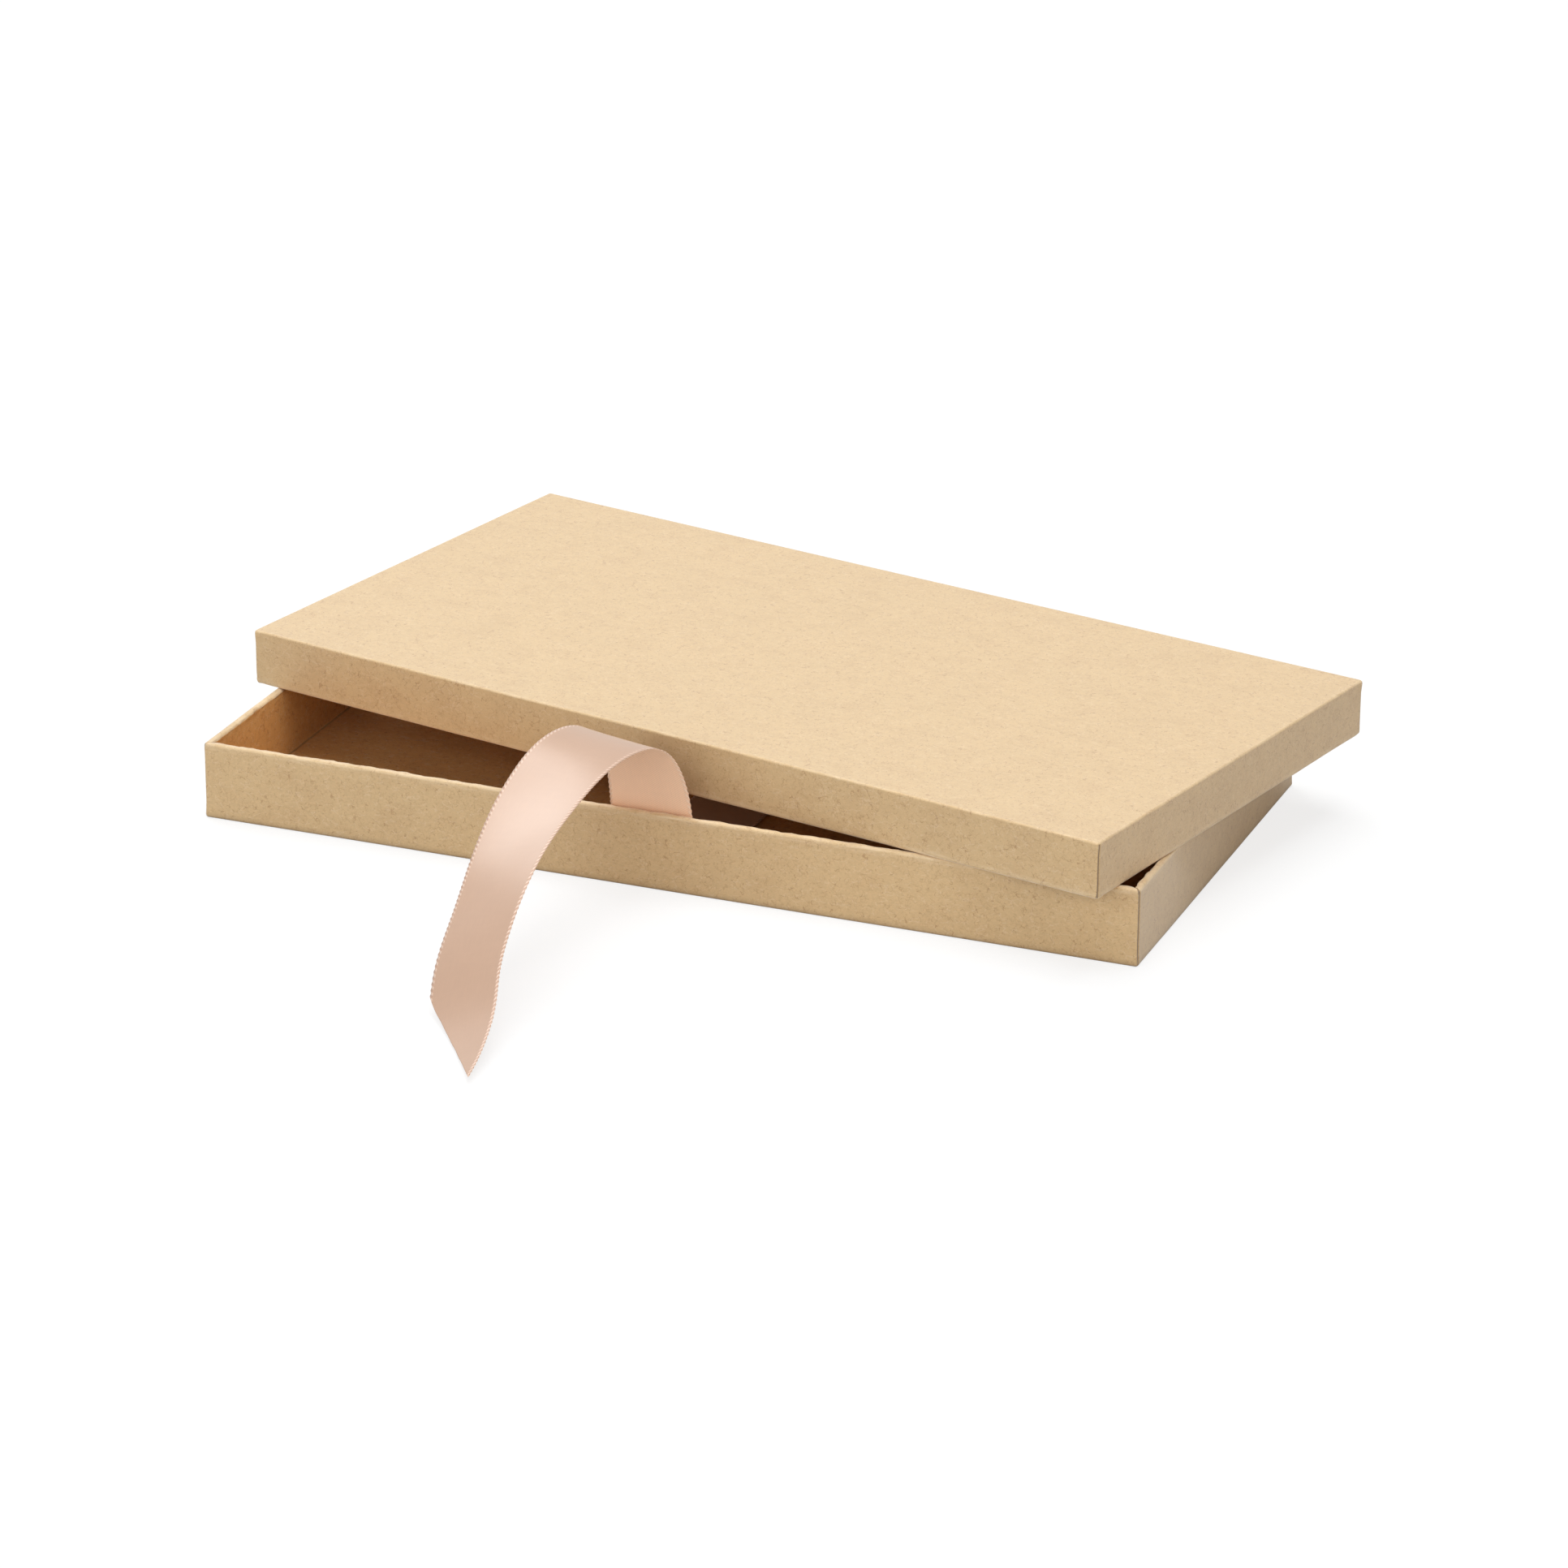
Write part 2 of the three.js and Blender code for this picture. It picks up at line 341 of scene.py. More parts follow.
@dataclass(frozen=True)
class KraftBoard:
    """Uncoated brown kraft board with fine fibre flecks.

    Sizes are in metres: how wide one patch, fleck or curl is. A depth is how much its
    pattern lightens and darkens the board, a range the values between which it comes in,
    and a share how strongly it shows. fibre_edge is where a fibre fades in and is whole,
    from its middle, in widths.
    """

    base: tuple = (0.652, 0.457, 0.235, 1)
    shade: tuple = (0.53, 0.34, 0.165, 1)
    fibre: tuple = (0.33, 0.14, 0.05, 1)
    pale_fibre: tuple = (0.80, 0.63, 0.42, 1)
    # painted shade for slits, seams and the inner fold, and a painted contact shadow at the foot
    painted_shade: tuple = (0.16, 0.09, 0.045, 1)
    # a paler colour for the edges: partly real wear, partly a painted highlight on rim crowns and
    # folds
    worn_and_highlight: tuple = (0.84, 0.67, 0.45, 1)
    roughness: float = 0.55
    uneven_roughness: float = 0.12
    gloss: float = 0.5
    sheen: float = 0.48
    sheen_roughness: float = 0.5
    curl: float = 0.8 * MM
    curl_reach: float = 1.0 * MM
    clump: float = 1.5 * MM
    clump_edge: float = 0.05
    fibre_edge: tuple = (0.7, 0.25)
    long_fibres: Fibres = Fibres(1.9 * MM, 0.13 * MM, 0.57, 0.44)
    short_fibres: Fibres = Fibres(1.05 * MM, 0.10 * MM, 0.48, 0.25)
    light_fibres: Fibres = Fibres(1.3 * MM, 0.12 * MM, 0.50, 0.28)
    grain_stretch: tuple = (0.6, 1, 1)
    short_turn: tuple = (0.4, 0.9, 1.3)
    streak_stretch: tuple = (0.12, 0.12, 1)
    broad_size: float = 18 * MM
    blotch_size: float = 5 * MM
    mottle_size: float = 1.0 * MM
    grain_size: float = 0.28 * MM
    speck_size: float = 0.5 * MM
    streak_size: float = 0.5 * MM
    broad_depth: float = 0.08
    mottle_depth: float = 0.14
    grain_depth: float = 0.24
    blotch_range: tuple = (0.42, 0.75)
    blotch_share: float = 0.28
    speck_range: tuple = (0.80, 0.84)
    speck_share: float = 0.4
    streak_range: tuple = (0.25, 0.7)
    worn_and_highlight_share: float = 0.7
    grain_relief: float = 0.6
    fibre_relief: float = 0.3
    bump: float = 0.3
    bump_depth: float = 0.1 * MM

    def fibres(self, graph: Graph, place: Signal, kind: Fibres) -> Signal:
        """Short curled fibres: the bent borders of small cells, cut short by a cloud.

        Args:
            graph: the material's graph.
            place: where on the board, in metres.
            kind: the kind of fibre.

        Returns:
            Its share on a fibre and 0 beside it.
        """
        curl = graph.shifted(place, self.curl, self.curl_reach)
        border = graph.add(
            "ShaderNodeTexVoronoi",
            {"feature": "DISTANCE_TO_EDGE"},
            {"Vector": curl, "Scale": 1 / kind.spacing},
        )
        keep = graph.cloud(place, self.clump, 1).ramp(kind.few, kind.few + self.clump_edge)
        outer, inner = (kind.width * share for share in self.fibre_edge)
        return (border * kind.spacing).ramp(outer, inner) * keep * kind.share

    def material(self, name: str) -> bpy.types.Material:
        """Make the board's material.

        Args:
            name: the material's name.

        Returns:
            The material.
        """
        made, graph = new_material(name)
        board = graph.place("board_place")
        grain = graph.place("board_place", self.grain_stretch)
        aside = graph.place("board_place", (1, 1, 1), self.short_turn)
        broad = graph.cloud(board, self.broad_size, 3)
        blotch = graph.cloud(grain, self.blotch_size, 4).ramp(*self.blotch_range)
        mottle = graph.cloud(grain, self.mottle_size, 4)
        fine = graph.cloud(grain, self.grain_size, 2)
        dark = self.fibres(graph, board, self.long_fibres)
        short = self.fibres(graph, aside, self.short_fibres)
        light = self.fibres(graph, grain, self.light_fibres)
        specks = graph.cloud(board, self.speck_size, 0).ramp(*self.speck_range)
        level = (
            1
            + (broad - 0.5) * self.broad_depth
            + (mottle - 0.5) * self.mottle_depth
            + (fine - 0.5) * self.grain_depth
        )
        paper = graph.mix(blotch * self.blotch_share, self.base, self.shade)
        paper = graph.tint(paper, level)
        paper = graph.mix(light, paper, self.pale_fibre)
        paper = graph.mix(short, paper, self.fibre)
        paper = graph.mix(dark, paper, self.fibre)
        paper = graph.mix(specks * self.speck_share, paper, self.fibre)
        streaks = graph.cloud(graph.place("board_place", self.streak_stretch), self.streak_size)
        # paler streaks on the crowns and folds: partly real wear, partly a painted highlight
        worn_and_lit = graph.mark("worn_and_highlight") * streaks.ramp(*self.streak_range) * self.worn_and_highlight_share
        paper = graph.mix(worn_and_lit, paper, self.worn_and_highlight)
        # painted shade in the slits, seams and inner fold, and a painted contact shadow along the
        # foot
        paper = graph.mix(graph.mark("painted_shade"), paper, self.painted_shade)
        relief = (fine + mottle) * self.grain_relief
        relief += dark * (self.fibre_relief / self.long_fibres.share)
        graph.surface(
            {
                "Base Color": paper,
                "Roughness": self.roughness + (mottle - 0.5) * self.uneven_roughness,
                "Specular IOR Level": self.gloss,
                "Sheen Weight": self.sheen,
                "Sheen Roughness": self.sheen_roughness,
                "Normal": graph.bump(relief, self.bump, self.bump_depth),
            }
        )
        return made


@dataclass(frozen=True)
class SatinRibbon:
    """Woven satin: smooth and shiny on one face, matte on the other, with whipped edges.

    Sizes and pitches are in metres. A slant is how fast the ribs turn over across the
    ribbon and along it, and a relief how high its pattern stands in the bump.
    """

    base: tuple = (0.50, 0.310, 0.204, 1)
    back: tuple = (0.93, 0.615, 0.41, 1)
    stitch: tuple = (0.86, 0.66, 0.53, 1)
    gap: tuple = (0.52, 0.30, 0.20, 1)
    back_gap: tuple = (0.80, 0.51, 0.34, 1)
    sheen: float = 0.14
    sheen_roughness: float = 0.35
    gloss: float = 1.0
    roughness: float = 0.34
    back_roughness: float = 0.28
    thread_roughness: float = 0.12
    edge_roughness: float = 0.2
    stitch_pitch: float = 1.25 * MM
    stitch_lean: float = 0.8
    stitch_range: tuple = (-0.5, 0.5)
    stitch_share: float = 0.6
    edge_range: tuple = (9.0 * MM, 9.35 * MM)
    rib_pitch: float = 0.45 * MM
    face_pitch: float = 0.36 * MM
    face_slant: tuple = (0.9, 0.35)
    back_slant: tuple = (0.55, -1.0)
    dot_slant: tuple = (1.0, 0.3)
    dot_depth: float = 0.45
    face_ribs: float = 0.5
    back_ribs: float = 3
    thread_stretch: tuple = (1, 0.05, 1)
    slub_stretch: tuple = (0.3, 1, 1)
    thread_size: float = 0.22 * MM
    slub_size: float = 1.4 * MM
    fine_size: float = 0.16 * MM
    thread_depth: float = 0.10
    slub_depth: float = 0.05
    rib_depth: float = 0.03
    fine_depth: float = 0.06
    thread_relief: float = 0.35
    fine_relief: float = 0.2
    rib_relief: float = 0.10
    stitch_relief: float = 1.2
    bump: float = 0.35
    bump_depth: float = 0.08 * MM

    def ribs(self, across: Signal, along: Signal, back: Signal) -> Signal:
        """The weave: slight ribs on the shiny face and a dotted twill on the back.

        Args:
            across: the place across the ribbon.
            along: the place along it.
            back: 0 on the shiny face and 1 on the matte one.

        Returns:
            The rise and fall about 0.
        """

        def slanted(slant: tuple, pitch: float) -> Signal:
            """Even ribs that run on a slant."""
            return (across * slant[0] + along * slant[1]).wave(pitch)

        shiny = slanted(self.face_slant, self.face_pitch)
        dots = slanted(self.dot_slant, self.rib_pitch) * self.dot_depth + (1 - self.dot_depth)
        matte = slanted(self.back_slant, self.rib_pitch) * dots
        return shiny * (1 - back) * self.face_ribs + matte * back * self.back_ribs

    def material(self, name: str) -> bpy.types.Material:
        """Make the ribbon's material.

        Args:
            name: the material's name.

        Returns:
            The material.
        """
        made, graph = new_material(name)
        strip = graph.place("strip_place")
        across = graph.add("ShaderNodeSeparateXYZ", {}, {0: strip})
        along = across.beside("Y")
        back = across.beside("Z")
        ribs = self.ribs(across, along, back)
        threads = graph.cloud(graph.place("strip_place", self.thread_stretch), self.thread_size)
        slubs = graph.cloud(graph.place("strip_place", self.slub_stretch), self.slub_size)
        fine = graph.cloud(strip, self.fine_size, 1)
        edge = abs(across).ramp(*self.edge_range)
        lean = along + abs(across) * self.stitch_lean
        stitches = lean.wave(self.stitch_pitch).ramp(*self.stitch_range)
        level = (
            1
            + (threads - 0.5) * self.thread_depth
            + (slubs - 0.5) * self.slub_depth
            + ribs * self.rib_depth
            + (fine - 0.5) * self.fine_depth
        )
        cloth = graph.tint(graph.mix(back, self.base, self.back), level)
        gap = graph.mix(back, self.gap, self.back_gap)
        whipped = graph.mix(stitches, gap, self.stitch)
        cloth = graph.mix(edge * self.stitch_share, cloth, whipped)
        roughness = (
            self.roughness
            + back * self.back_roughness
            + (threads - 0.5) * self.thread_roughness
            + edge * self.edge_roughness
        )
        relief = (
            ribs * self.rib_relief
            + threads * self.thread_relief
            + fine * self.fine_relief
            + edge * stitches * self.stitch_relief
        )
        graph.surface(
            {
                "Base Color": cloth,
                "Roughness": roughness,
                "Specular IOR Level": self.gloss,
                "Sheen Weight": self.sheen,
                "Sheen Roughness": self.sheen_roughness,
                "Normal": graph.bump(relief, self.bump, self.bump_depth),
            }
        )
        return made


@dataclass(frozen=True)
class PaleFloor:
    """A plain table top that the camera sees as white, with the object's soft shadow.

    Glow is the share of its own light that the camera sees in place of the lit table.
    """

    colour: tuple = (0.56, 0.56, 0.56, 1)
    glow: float = 0.58
    glow_strength: float = 1.32

    def material(self, name: str) -> bpy.types.Material:
        """Make the floor's material.

        Args:
            name: the material's name.

        Returns:
            The material.
        """
        made, graph = new_material(name)
        seen = graph.add("ShaderNodeLightPath", output="Is Camera Ray")
        matte = graph.add("ShaderNodeBsdfDiffuse", {}, {"Color": self.colour})
        inputs = {"Color": WHITE, "Strength": self.glow_strength}
        light = graph.add("ShaderNodeEmission", {}, inputs)
        surface = graph.add("ShaderNodeMixShader", {}, {0: seen * self.glow, 1: matte, 2: light})
        graph.add("ShaderNodeOutputMaterial", {}, {"Surface": surface})
        return made


class Rim(Enum):
    """Which way the open side of a folded box looks."""

    UP = 1
    DOWN = -1


@dataclass(frozen=True)
class Unevenness:
    """A slow random movement of the board.

    Size is how far apart unlike values are, reach how far the board moves, and salt a
    number that tells one movement from another.
    """

    size: float
    reach: float
    salt: int


@dataclass(frozen=True)
class Corners:
    """The slits where the boards of two walls meet, and the ears and crumples beside them.

    Steps are those that an upright corner is turned in. The mitre lies over its middle and
    the seam at seam_step from the long wall, and their reaches are counted in steps.
    mitre_depth and seam_top are counted down from the crown, in shoulders.
    """

    steps: int = 8
    mitre_reach: float = 2.6
    mitre_cut: float = 0.55 * MM
    mitre_depth: float = 1.05
    # how much painted shade darkens the slit
    mitre_dark: float = 0.9
    seam_step: int = 2
    seam_reach: float = 2.8
    seam_cut: float = 0.22 * MM
    seam_inset: float = 0.3 * MM
    seam_top: float = 0.4
    seam_sharpness: float = 1.3
    ear: float = 0.3 * MM
    ear_reach: float = 2.2 * MM
    ear_span: tuple = (0.3 * MM, 3 * MM)
    ear_height: float = 1.1 * MM
    ear_spread: float = 0.7 * MM
    crumple_depth: float = 3 * MM
    crumple_reach: float = 7 * MM


@dataclass(frozen=True)
class WearAndPaintedLight:
    """Painted shade at the foot and in the inner fold, and wear with a painted highlight on the
    edges, from 0 to 1.

    The two depths are counted down from the crown, in shoulders.
    """

    base_dark: float = 0.7
    floor_dark: float = 0.5
    fold: float = 0.6
    fold_height: float = 0.4
    crown: float = 0.95
    crown_depth: float = 0.8
    shoulder: float = 0.6
    shoulder_depth: float = 1.5
    least: float = 0.4


@dataclass
class FoldedBox:
    """A shallow box folded from one board: walls doubled over, with slits at the corners.

    turned_in is the share of a wall's thickness past which its board is the turned-in one,
    and quiet how much of the ripple is left there. flat_under is the inset from which the
    underside lies flat, and floor_reach how far past a wall the floor still moves with it.
    near_stops are the distances of a side's first points from its corner, in millimetres.
    """

    name: str
    length: float
    width: float
    height: float
    centre: Vector
    turn: float = 0.0
    rim: Rim = Rim.UP
    seed: int = 1
    wall: float = 1.8 * MM
    panel: float = 1.2 * MM
    fold: float = 0.5 * MM
    shoulder: float = 0.7 * MM
    corner: float = 0.7 * MM
    inner: float = 0.4 * MM
    spacing: float = 1.2 * MM
    near_stops: tuple = (0.05, 0.18, 0.31, 0.42, 0.7, 1.1, 1.7, 2.6, 3.9)
    last_stop: float = 5.5 * MM
    under_rows: tuple = (8 * MM, 3 * MM, 1.4 * MM, 0.8 * MM)
    floor_rows: tuple = (0.8 * MM, 3 * MM)
    flat_under: float = 1 * MM
    floor_reach: float = 2 * MM
    turned_in: float = 0.6
    turned_in_depth: float = 2 * MM
    quiet: float = 0.35
    corners: Corners = Corners()
    wear_and_light: WearAndPaintedLight = WearAndPaintedLight()
    bow: Unevenness = Unevenness(45 * MM, 0.07 * MM, 1)
    ripple: Unevenness = Unevenness(5 * MM, 0.0245 * MM, 2)
    lift: Unevenness = Unevenness(16 * MM, 0.056 * MM, 3)
    crumple: Unevenness = Unevenness(1.6 * MM, 0.16 * MM, 5)
    crumple_lift: Unevenness = Unevenness(2.2 * MM, 0.14 * MM, 6)
    rubbing: Unevenness = Unevenness(9 * MM, 1.0, 8)
    rag: Unevenness = Unevenness(1.9 * MM, 0.5 * MM, 9)
    rag_lift: Unevenness = Unevenness(3.5 * MM, 0.2 * MM, 10)
    noise_step: tuple = (7.3, 3.1, 0.4)

    def section(self) -> tuple[list[tuple[float, float]], int]:
        """The wall's section from the underside round the rim to the floor inside.

        Returns:
            Pairs of inset and height, in metres, and the number of the last one before
            the wall's inner face.
        """

        def arc(inset: float, up: float, radius: float, angles: tuple, steps: int) -> list:
            """Points of one rounding, between two angles in degrees."""
            turns = np.radians(np.linspace(*angles, steps + 1))
            return [(inset + radius * math.cos(a), up + radius * math.sin(a)) for a in turns]

        # single rows close to each rounding keep its shading off the flat faces
        low = self.fold
        high = self.height - self.shoulder
        rows = [(inset, 0.0) for inset in self.under_rows]
        rows += arc(low, low, self.fold, (270, 180), 5)
        rows += [(0.0, low + 0.25 * MM)]
        rows += [(0.0, up) for up in np.linspace(low + 1.2 * MM, high - 1.0 * MM, 8)]
        rows += [(0.0, high - 0.25 * MM)]
        rows += arc(self.shoulder, high, self.shoulder, (180, 90), 6)
        rows += arc(self.wall - self.shoulder, high, self.shoulder, (90, 0), 6)
        last_outer = len(rows) - 2
        rows += [(self.wall, high - 0.3 * MM)]
        rows += [(self.wall, up) for up in np.linspace(high - 1.4 * MM, self.panel + 1.5 * MM, 4)]
        rows += arc(self.wall + self.inner, self.panel + self.inner, self.inner, (180, 270), 3)
        rows += [(self.wall + aside, self.panel) for aside in self.floor_rows]
        return rows, last_outer

    def stops(self, length: float) -> np.ndarray:
        """Where the points of one straight side lie, close together near its corners.

        Args:
            length: the side's length.

        Returns:
            Shares of the side from 0 to 1, without its ends.
        """
        near = np.array(self.near_stops) * MM
        count = max(int(length / self.spacing), 4)
        middle = np.linspace(self.last_stop, length - self.last_stop, count)
        return np.concatenate([near, middle, length - near[::-1]]) / length

    def ring(self, inset: float) -> tuple[list, list, list]:
        """One ring of points round the box, with what each of them is part of.

        Args:
            inset: how far in from the outer faces the ring lies.

        Returns:
            The points, how much each is on a corner's diagonal, and how much each is in
            the upright seam beside a corner.
        """
        steps = self.corners.steps
        radius = max(self.corner - inset, self.inner)
        x = self.length / 2 - inset - radius
        y = self.width / 2 - inset - radius
        points: list = []
        mitres: list = []
        seams: list = []
        corners = [(x, -y, 270), (x, y, 0), (-x, y, 90), (-x, -y, 180)]
        for number, (cx, cy, start) in enumerate(corners):
            end_wall = number % 2 == 0
            seam_step = steps - self.corners.seam_step if end_wall else self.corners.seam_step
            for step in range(steps + 1):
                angle = math.radians(start + 90 * step / steps)
                points.append((cx + radius * math.cos(angle), cy + radius * math.sin(angle)))
                mitres.append(max(0.0, 1 - abs(step - steps / 2) / self.corners.mitre_reach))
                seams.append(max(0.0, 1 - abs(step - seam_step) / self.corners.seam_reach))
            nx, ny, first = corners[(number + 1) % 4]
            angle = math.radians(first)
            begin = Vector(points[-1])
            finish = Vector((nx + radius * math.cos(angle), ny + radius * math.sin(angle)))
            side = (self.width if end_wall else self.length) - 2 * self.corner
            shares = self.stops(side)
            points += [tuple(begin.lerp(finish, float(share))) for share in shares]
            mitres += [0.0] * len(shares)
            seams += [0.0] * len(shares)
        return points, mitres, seams

    def drift(self, place: Vector, kind: Unevenness) -> float:
        """A slow random value, the same each time.

        Args:
            place: the point.
            kind: the movement that it is for.

        Returns:
            A value about 0.
        """
        aside, back, up = self.noise_step
        offset = Vector((self.seed * aside, kind.salt * back, up))
        return kind.reach * noise.noise(place / kind.size + offset)

    def outward(self, point: Vector) -> Vector:
        """The way out through the nearest wall.

        Args:
            point: a point of the even box.

        Returns:
            A direction along X or Y.
        """
        if abs(point.y) / self.width > abs(point.x) / self.length:
            return Vector((0, math.copysign(1, point.y), 0))
        return Vector((math.copysign(1, point.x), 0, 0))

    def moved(self, even: Vector, inset: float, out: Vector) -> Vector:
        """Move one point by the board's own unevenness.

        Args:
            even: the point of the even box.
            inset: its inset from the outer faces.
            out: the way out through the nearest wall.

        Returns:
            The new point.
        """
        point = even.copy()
        z = even.z
        corners = self.corners
        from_corner = math.hypot(abs(even.x) - self.length / 2, abs(even.y) - self.width / 2)
        bow = self.drift(Vector((point.x, point.y, z / 2)), self.bow)
        ripple = self.drift(point, self.ripple)
        if inset > self.wall * self.turned_in:
            ripple *= self.quiet
        if inset <= self.flat_under or z >= self.fold:
            past_wall = max(inset - self.wall, 0) / self.floor_reach
            point += out * (bow + ripple) * max(0.0, 1 - past_wall)
        if inset < self.wall and z > self.fold:
            lift = self.drift(Vector((point.x, point.y, 0)), self.lift)
            point.z += lift * ((z - self.fold) / (self.height - self.fold)) ** 2
        # the layers at a corner stand out a little just past the fold
        if inset < self.fold and corners.ear_span[0] < z < corners.ear_span[1]:
            near = max(0.0, 1 - from_corner / corners.ear_reach)
            swell = math.exp(-(((z - corners.ear_height) / corners.ear_spread) ** 2))
            point += out * corners.ear * near * swell
        # the edge that is turned in over the rim is a little ragged
        turned_in = self.wall * self.turned_in < inset <= self.wall
        if turned_in and z > self.height - self.turned_in_depth:
            point += out * self.drift(point, self.rag)
            point.z += self.drift(point, self.rag_lift)
        # small crumples beside the corners at the rim, on both faces of the wall
        if z > self.height - corners.crumple_depth and inset < self.wall + SLACK:
            near = max(0.0, 1 - from_corner / corners.crumple_reach)
            point += out * self.drift(point, self.crumple) * near
            point.z += self.drift(point, self.crumple_lift) * near
        return point

    def marked(self, point: Vector, even: Vector, inset: float, slits: tuple) -> tuple:
        """Cut the slits into one point, and say how much painted shade and how much wear and
        painted highlight it takes.

        Args:
            point: the point, which the slits move.
            even: the point of the even box.
            inset: its inset from the outer faces.
            slits: how much it is on a corner's diagonal, and in an upright seam.

        Returns:
            Its painted shade, and its wear with painted highlight.
        """
        mitre, seam = slits
        z = even.z
        corners = self.corners
        wear_and_light = self.wear_and_light
        below_crown = (self.height - z) / self.shoulder
        painted_shade = 0.0
        worn_and_highlight = 0.0
        # the slit on a corner's diagonal is cut down and darkened with painted shade
        if mitre > 0 and below_crown < corners.mitre_depth and inset < self.wall + SLACK:
            point.z -= corners.mitre_cut * mitre
            painted_shade = mitre * corners.mitre_dark
        upright = self.fold < z and below_crown > corners.seam_top
        # the upright seam beside a corner is cut in and darkened with painted shade
        if seam > 0 and inset < corners.seam_inset and upright:
            point.x -= math.copysign(corners.seam_cut * seam, point.x)
            painted_shade = max(painted_shade, seam**corners.seam_sharpness)
        # a painted contact shadow along the foot of the tray's walls
        if inset < self.fold and z < 2 * self.fold and self.rim is Rim.UP:
            painted_shade = max(painted_shade, wear_and_light.base_dark * (1 - z / (2 * self.fold)))
        # the fold round the lid's top is paler: partly wear, partly a painted highlight
        if inset < self.fold and z < self.fold and self.rim is Rim.DOWN:
            worn_and_highlight = wear_and_light.fold * (1 - abs(z / self.fold - wear_and_light.fold_height))
        # painted shade in the fold between the walls and the floor inside
        if self.wall + self.inner / 3 < inset < self.wall + 1.5 * self.inner:
            painted_shade = max(painted_shade, wear_and_light.floor_dark)
        # the crown and shoulders of the rim are paler: partly wear, partly a painted highlight
        if below_crown < wear_and_light.shoulder_depth and inset < self.wall:
            worn_and_highlight = wear_and_light.crown if below_crown < wear_and_light.crown_depth else wear_and_light.shoulder
        worn_and_lit = max(0.0, min(1.0, 0.5 + self.drift(point, self.rubbing)))
        return painted_shade, worn_and_highlight * (wear_and_light.least + (1 - wear_and_light.least) * worn_and_lit)

    def build(self) -> bpy.types.Object:
        """Build the box's mesh in its place.

        Returns:
            The new object.
        """
        verts: list = []
        local: list = []
        marks: list = []
        section, last_outer = self.section()
        place = Matrix.Translation(self.centre) @ Matrix.Rotation(self.turn, 4, "Z")
        if self.rim is Rim.DOWN:
            upside_down = Matrix.Rotation(math.pi, 4, "X")
            place = place @ Matrix.Translation((0, 0, self.height)) @ upside_down
        for inset, up in section:
            for (x, y), *slits in zip(*self.ring(inset)):
                even = Vector((x, y, up))
                point = self.moved(even, inset, self.outward(even))
                marks.append(self.marked(point, even, inset, tuple(slits)))
                verts.append(place @ point)
                local.append(point)
        count = len(verts) // len(section)
        faces: list = []
        inward: list = []
        for row in range(len(section) - 1):
            for i in range(count):
                a = row * count + i
                b = row * count + (i + 1) % count
                faces.append((a, b, b + count, a + count))
                inward.append(int(row >= last_outer))
        faces.append(tuple(reversed(range(count))))
        faces.append(tuple(range(len(verts) - count, len(verts))))
        inward += [0, 1]
        built, mesh = new_piece(self.name, verts, faces)
        mesh.shade_smooth()
        mesh.polygons.foreach_set("material_index", inward)
        board = mesh.attributes.new("board_place", "FLOAT_VECTOR", "POINT")
        board.data.foreach_set("vector", np.array(local, dtype=np.float32).ravel())
        for name, values in zip(("painted_shade", "worn_and_highlight"), zip(*marks)):
            layer = mesh.attributes.new(name, "FLOAT", "POINT")
            layer.data.foreach_set("value", np.array(values, dtype=np.float32))
        return built

    def dress(self, built: bpy.types.Object, faces: tuple, node: str) -> None:
        """Give the box its board, and let it stand for its CAD node.

        Args:
            built: the box.
            faces: the material outside and over the rim, and the more saturated copy inside,
                which is painted shade.
            node: the CAD node that it stands for.
        """
        for material in faces:
            built.data.materials.append(material)
        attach(built, "root")
        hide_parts(node)


@dataclass(frozen=True)
class Guide:
    """One guide of the ribbon's middle line.

    sway is how far it has swung aside of where it crosses the wall, as a share of the whole
    sway, run its place along Y and right the height of its right selvedge. turn and bank
    are those of its crosswise line, about Z and up to the right, in degrees.
    """

    sway: float
    run: float
    right: float
    turn: float = 0.0
    bank: float = 0.0


